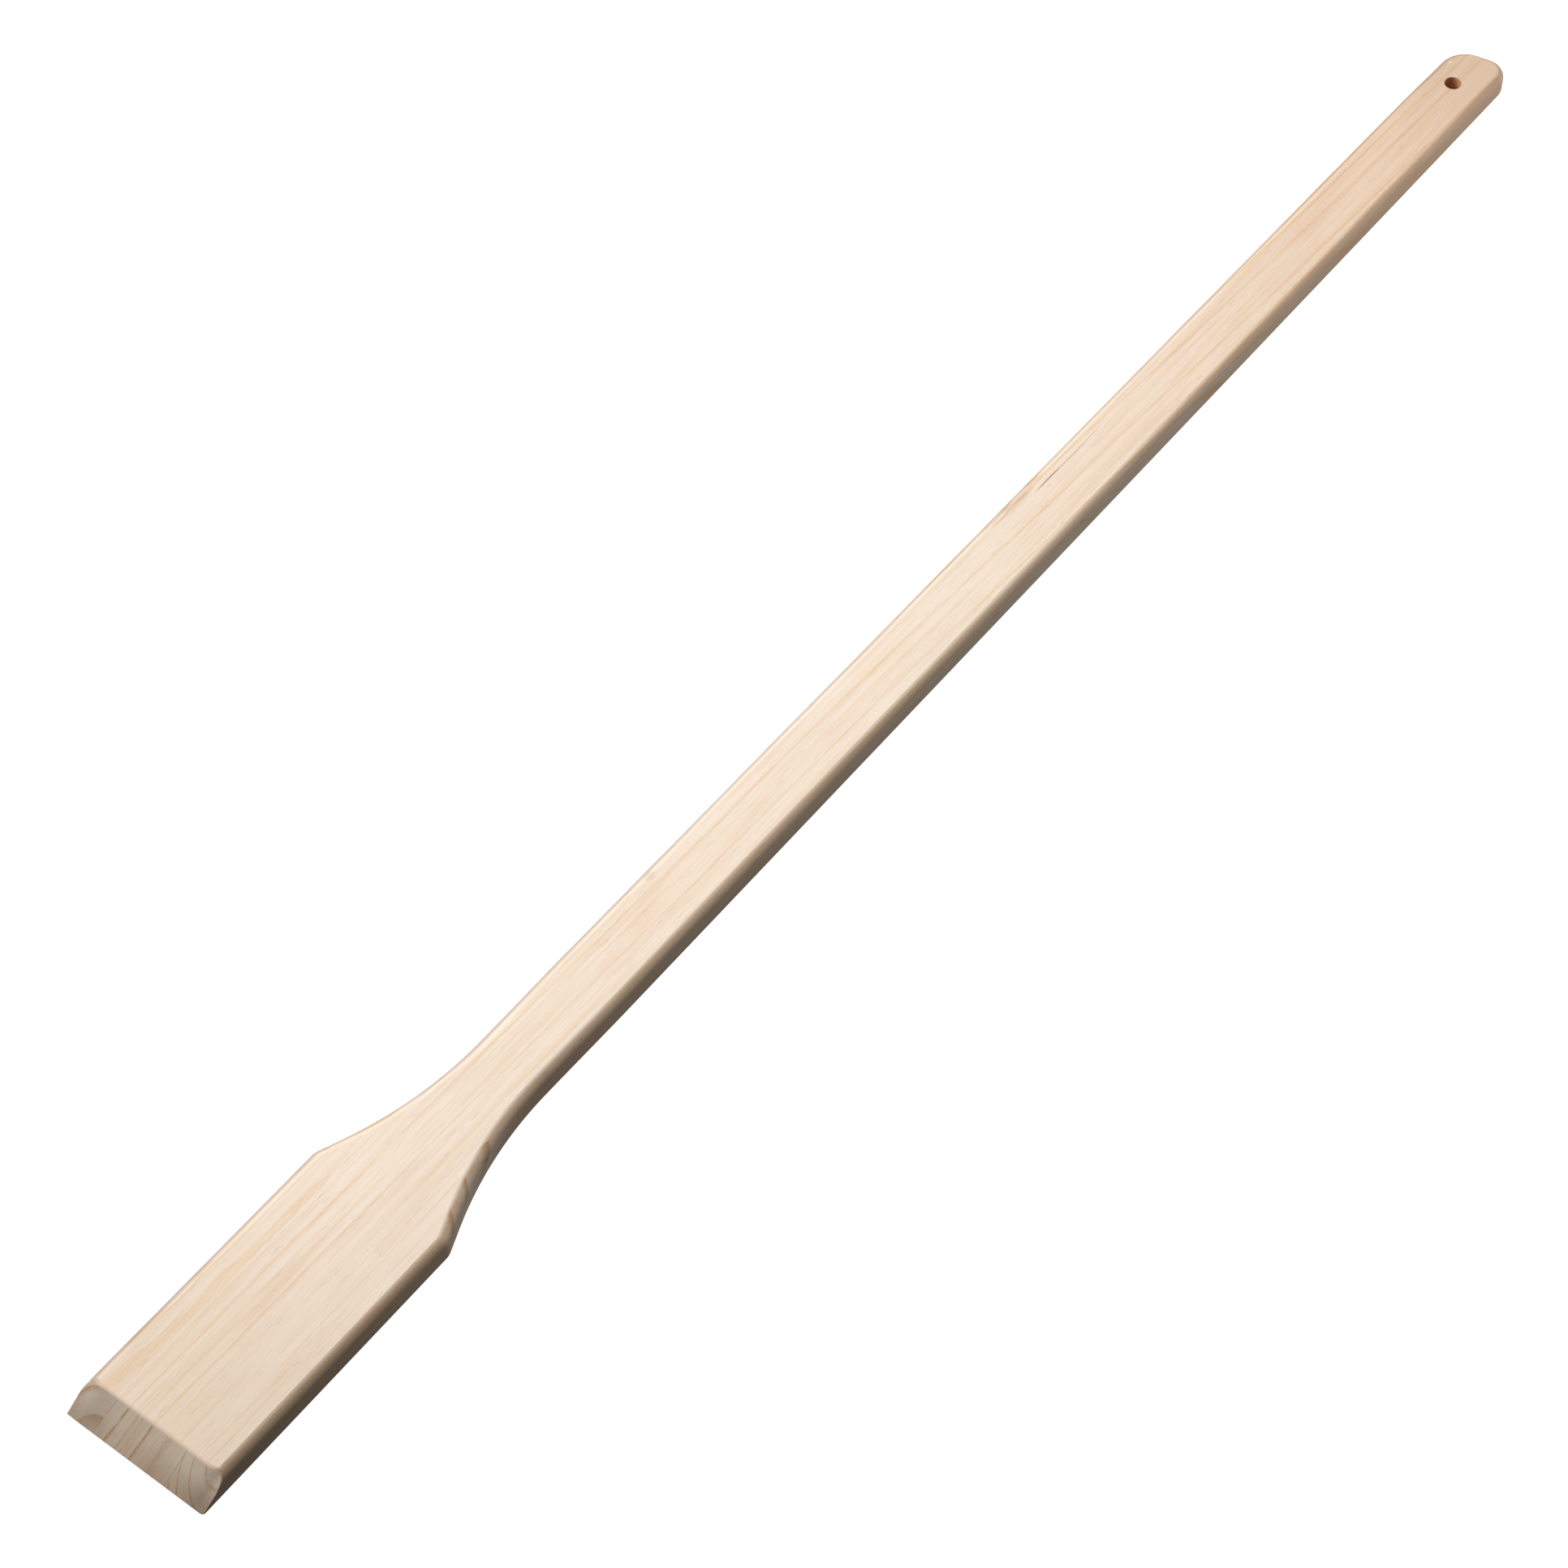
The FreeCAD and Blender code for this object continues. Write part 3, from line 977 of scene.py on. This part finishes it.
# Marks on the stave: middle along and across, half its length and half its width, then how
# strong it is and its colour. They are a reddish streak and its tail, a bruise and a pale chip.
KNOT_SPOT = (742, 18.5, 34, 7)
STAVE_SPOTS = [
    ((768, 11.3, 14, 0.55), 0.7, tone(164, 106, 78)),
    ((790, 11.0, 42, 0.4), 0.6, tone(186, 138, 102)),
    ((414, 16.4, 4.6, 3.4), 0.3, tone(190, 182, 160)),
    ((1199, 13.2, 1.3, 1.6), 0.8, tone(250, 232, 196)),
]


def stave_marks(graph, place, colour):
    """A small knot, the smaller marks, and the darker wall of the hang hole, with painted shade deeper
    down it.
    """
    swirl = graph.noise(place.stretched(14, 3, 5, 8.0), 1.0, 3.0)
    knot = graph.times(spot_at(graph, place, *KNOT_SPOT), graph.rise(swirl, 0.35, 0.7, 0.1, 0.55))
    colour = graph.mix(knot, colour, KNOT_COLOUR)
    for spot, strength, spot_colour in STAVE_SPOTS:
        share = graph.times(spot_at(graph, place, *spot), strength)
        colour = graph.mix(share, colour, spot_colour)
    wall = in_hole(graph, place)
    colour = graph.darken(colour, wall, HOLE_TINT)
    # Painted shade deeper down the hole
    deep = graph.times(wall, graph.rise(place.up, *DEEP_HOLE_SHADE_UP, 1.0, 0.0))
    return graph.darken(colour, deep, DEEP_HOLE_SHADE_TINT)


def centre_pine():
    """Upright-grained stave: each ring leans a little more towards the left side."""
    graph = Graph("centre_pine_wood")
    place = Place(graph)
    depth = graph.math("SUBTRACT", float(THICKNESS), place.up)
    lean = graph.multiply_add(place.across, 0.0045, 0.17)
    level = graph.math("SUBTRACT", place.across, graph.times(depth, lean))
    level = graph.math("SUBTRACT", level, graph.curve(place.along, DRIFT))
    level = graph.add(level, ring_wobble(graph, place, 0.7))
    late = graph.times(ring_sum(graph, level, STAVE_RINGS), broken(graph, place, 0.0))
    return finish_pine(graph, place, late, stave_marks)


def round_rings(graph, place, centre_y, centre_z):
    """Distance from the heart of the tree, seen from the end of a board."""
    y = graph.math("SUBTRACT", place.across, centre_y)
    z = graph.math("SUBTRACT", place.up, centre_z)
    return graph.math("SQRT", graph.add(graph.times(y, y), graph.times(z, z)))


# How far the left wing's rings sink below the face along the blade: it makes the wavy band
WAVE = [
    (0, 0), (28, 0.04), (50, 0.78), (66, 0.98), (77, 1.22), (96, 0.84),
    (108, 1.25), (116, 1.39), (141, 1.35), (160, 1.4), (176, 1.6), (240, 2.4),
]
# Rings of the wings: distance from the heart of the tree, reach before and after, and strength
LEFT_RINGS = [
    (14.2, 5.0, 0.25, 0.6),
    (19.2, 1.0, 0.4, 0.12),
    (23.4, 2.6, 0.12, 0.85),
    (25.85, 0.45, 0.2, 0.7),
    (28.6, 0.8, 0.3, 0.6),
    (31.8, 0.8, 0.3, 0.6),
]
RIGHT_RINGS = [
    (5.4, 0.9, 0.5, 0.35),
    (9.8, 0.5, 1.5, 0.55),
    (17.0, 0.35, 0.6, 0.85),
    (22.6, 0.35, 0.6, 0.8),
    (26.6, 0.5, 0.9, 0.8),
]
# Strokes on the right side of the neck: place along, reach before and after, and strength
NECK_STROKES = [
    (193, 5.0, 2.4, 0.6),
    (212, 4.5, 2.2, 0.6),
    (236, 8.0, 2.6, 0.6),
]


def neck_marks(graph, place, colour):
    """Latewood that crosses the rounded side of the neck as short brown strokes."""
    down = graph.math("SUBTRACT", place.up, THICKNESS - 1.0)
    level = graph.add(place.along, graph.times(down, -1.5))
    strokes = ring_sum(graph, level, NECK_STROKES)
    strokes = graph.times(strokes, graph.rise(place.up, *STROKE_UP, 0.25, 1.0))
    strokes = graph.times(strokes, graph.rise(place.up, *OFF_FACE_UP, 1.0, 0.0))
    return graph.darken(colour, strokes, NECK_STROKE_TINT)


def left_pine():
    """Flat-grained left wing: a broad latewood band wanders over its face."""
    graph = Graph("left_pine_wood")
    place = Place(graph)
    level = round_rings(graph, place, 27.0, -6.1)
    level = graph.add(level, graph.curve(place.along, WAVE))
    level = graph.add(level, ring_wobble(graph, place, 0.14))
    late = graph.times(ring_sum(graph, level, LEFT_RINGS), broken(graph, place, 11.0))
    return finish_pine(graph, place, late)


def right_pine():
    """Right wing: its rings turn downwards towards the outer side."""
    graph = Graph("right_pine_wood")
    place = Place(graph)
    level = round_rings(graph, place, -42.3, 19.7)
    level = graph.add(level, ring_wobble(graph, place, 0.45))
    late = graph.times(ring_sum(graph, level, RIGHT_RINGS), broken(graph, place, 23.0))
    return finish_pine(graph, place, late, neck_marks)


def wood_glue():
    """Dried glue in the joints: a thin tan line that comes and goes."""
    graph = Graph("wood_glue_line")
    place = Place(graph)
    seen = graph.noise(place.stretched(9, 3, 3, 6.0), 1.0, 3.0)
    colour = graph.mix(graph.rise(seen, 0.35, 0.6), PALE_GLUE, TAN_GLUE)
    colour = graph.darken(colour, bevel_share(graph, place), END_GRAIN_TINT)
    roughness = graph.rise(seen, 0.3, 0.7, 0.4, 0.6)
    join_shader(graph, colour, roughness, seen, GLUE_BUMP, GLUE_RELIEF)
    return graph.material


# ---------------------------------------------------------------- stage

FLOOR_HALF = 40.0
FLOOR_GREY = tone(226, 226, 226)
FLOOR_GLOW = 1.0
ROOM_COLOUR = (1.0, 0.97, 0.95, 1.0)
ROOM_STRENGTH = 0.05

# Soft lamps: place, aim, size, power in watts and colour
LAMPS = {
    "key": ((-0.07, 1.2, 1.45), (-0.1, 0, 0), (1.3, 1.0), 46.0, (1.0, 0.985, 0.965)),
    "fill": ((1.5, -0.75, 0.2), (0.4, 0, 0), (0.6, 0.4), 10.5, (1.0, 0.97, 0.94)),
}

CAMERA_AIM = Vector((-0.0952, 0.0046, 0.0))
CAMERA_PITCH = math.radians(52.905)
CAMERA_HEADING = math.radians(37.672)
CAMERA_DISTANCE = 2.1954
CAMERA_LENS = 93.42


def level_floor():
    """A plain white floor, far larger than the view, that throws no light on the paddle."""
    mesh = bpy.data.meshes.new("floor")
    half = FLOOR_HALF
    spots = [(-half, -half, 0), (half, -half, 0), (half, half, 0), (-half, half, 0)]
    mesh.from_pydata(spots, [], [(0, 1, 2, 3)])
    floor = bpy.data.objects.new("floor", mesh)
    bpy.context.scene.collection.objects.link(floor)
    graph = Graph("floor_white")
    shader = graph.tree.nodes.new("ShaderNodeBsdfPrincipled")
    graph.put(shader.inputs["Base Color"], FLOOR_GREY)
    graph.put(shader.inputs["Roughness"], 0.9)
    graph.put(shader.inputs["Emission Color"], (1.0, 1.0, 1.0, 1.0))
    graph.put(shader.inputs["Emission Strength"], FLOOR_GLOW)
    output = graph.tree.nodes.new("ShaderNodeOutputMaterial")
    graph.put(output.inputs["Surface"], shader.outputs[0])
    mesh.materials.append(graph.material)
    floor.visible_diffuse = False
    floor.visible_glossy = False


def soft_light(name, place, aim, size, power, colour):
    """A large soft lamp aimed at a spot."""
    data = bpy.data.lights.new(name, "AREA")
    data.shape = "RECTANGLE"
    data.size, data.size_y = size
    data.energy = power
    data.color = colour
    lamp = bpy.data.objects.new(name, data)
    lamp.location = place
    lamp.rotation_euler = (Vector(aim) - Vector(place)).to_track_quat("-Z", "Y").to_euler()
    bpy.context.scene.collection.objects.link(lamp)


def light_room():
    """A soft key high on the left, a small fill beyond the handle, and a faint room light."""
    for name, lamp in LAMPS.items():
        soft_light(name, *lamp)
    world = bpy.data.worlds.new("room")
    world.use_nodes = True
    background = world.node_tree.nodes["Background"]
    background.inputs["Color"].default_value = ROOM_COLOUR
    background.inputs["Strength"].default_value = ROOM_STRENGTH
    bpy.context.scene.world = world


def place_camera():
    """A long lens that looks down over the tip, up the length of the paddle."""
    flat = math.cos(CAMERA_PITCH)
    look = Vector(
        (
            flat * math.cos(CAMERA_HEADING),
            flat * math.sin(CAMERA_HEADING),
            -math.sin(CAMERA_PITCH),
        )
    )
    data = bpy.data.cameras.new("camera")
    data.lens = CAMERA_LENS
    data.sensor_width = 36.0
    camera = bpy.data.objects.new("camera", data)
    camera.location = CAMERA_AIM - look * CAMERA_DISTANCE
    camera.rotation_euler = look.to_track_quat("-Z", "Y").to_euler()
    bpy.context.scene.collection.objects.link(camera)
    bpy.context.scene.camera = camera
    bpy.context.scene.view_settings.view_transform = "Standard"


# ---------------------------------------------------------------- build


def left_joint(x):
    """Where the left joint lies: it runs straight."""
    return np.full_like(x, LEFT_JOINT)


def left_glue_outer(x):
    """The left wing's side of the left glue line."""
    return np.full_like(x, LEFT_JOINT + GLUE)


def right_glue_outer(x):
    """The right wing's side of the right glue line."""
    return right_joint(x) - GLUE


def build_paddle():
    """All the boards and glue lines."""
    left_end = run_out(left_glue_outer, left_edge, WING_END)
    right_end = run_out(right_glue_outer, right_edge, WING_END)
    glue = wood_glue()
    make_board("paddle_stave", "centre_stave", stave_plan(), centre_pine(), True)
    plan = wing_plan(left_glue_outer, left_edge, left_end)
    make_board("paddle_left_wing", "left_wing", plan, left_pine())
    plan = wing_plan(right_glue_outer, right_edge, right_end)
    make_board("paddle_right_wing", "right_wing", plan, right_pine())
    plan = glue_plan(left_joint, left_edge, 1, left_end)
    make_board("paddle_left_glue", "left_glue_line", plan, glue)
    plan = glue_plan(right_joint, right_edge, -1, right_end)
    make_board("paddle_right_glue", "right_glue_line", plan, glue)


build_paddle()
level_floor()
light_room()
place_camera()
